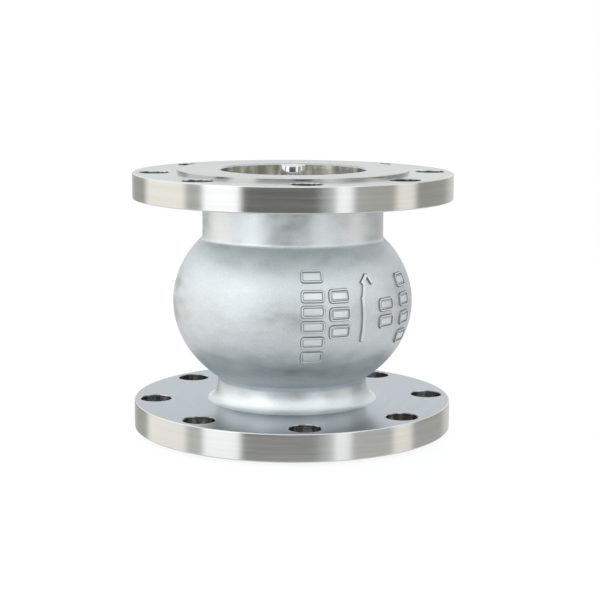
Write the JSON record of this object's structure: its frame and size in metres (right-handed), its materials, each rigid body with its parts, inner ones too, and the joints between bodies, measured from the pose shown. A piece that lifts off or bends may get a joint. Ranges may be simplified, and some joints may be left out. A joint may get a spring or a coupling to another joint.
{
  "type": "silent non-return valve",
  "caption": "Flanged stainless silent non-return valve: globe casting with a spring-loaded, centre-guided lifting disc, soft seal, and a bolt circle on each end.",
  "frame": {"origin": "middle of the inlet flange's raised face, on which the valve stands", "axes": "+Z along the flow, from the inlet to the outlet; the bolt holes start 5 degrees round from +X"},
  "size_m": [0.185, 0.185, 0.1544],
  "materials": {
    "cast_steel": "satin, bead-blasted casting with machined faces",
    "turned_steel": "fine turned",
    "polished_steel": "polished",
    "spring_steel": "drawn wire, satin",
    "bush_bronze": "turned bronze",
    "soft_white": "waxy, matte",
    "black_rubber": "matte"
  },
  "bodies": {
    "casing": {"valve_body": "cast_steel", "seat_gasket": "soft_white", "seat_ring": "turned_steel", "upper_guide": "cast_steel", "upper_bush": "bush_bronze", "upper_circlip": "spring_steel", "lower_guide": "cast_steel", "lower_bush": "bush_bronze", "lower_circlip": "spring_steel", "spring": "spring_steel"},
    "disc_assembly": {"disc": "turned_steel", "disc_seal": "soft_white", "seal_retainer": "turned_steel", "retainer_screws": "polished_steel", "stem": "polished_steel", "stem_o_ring": "black_rubber", "tab_washer": "turned_steel", "disc_nut": "polished_steel", "spring_seat": "turned_steel"}
  },
  "joints": [
    {"name": "disc_lift", "type": "slide", "parent": "casing", "child": "disc_assembly", "axis": [0, 0, 1], "range_m": [0, 0.018], "stiffness_N_per_m": 3080, "springref_m": -0.005, "deforming": ["spring"]}
  ]
}
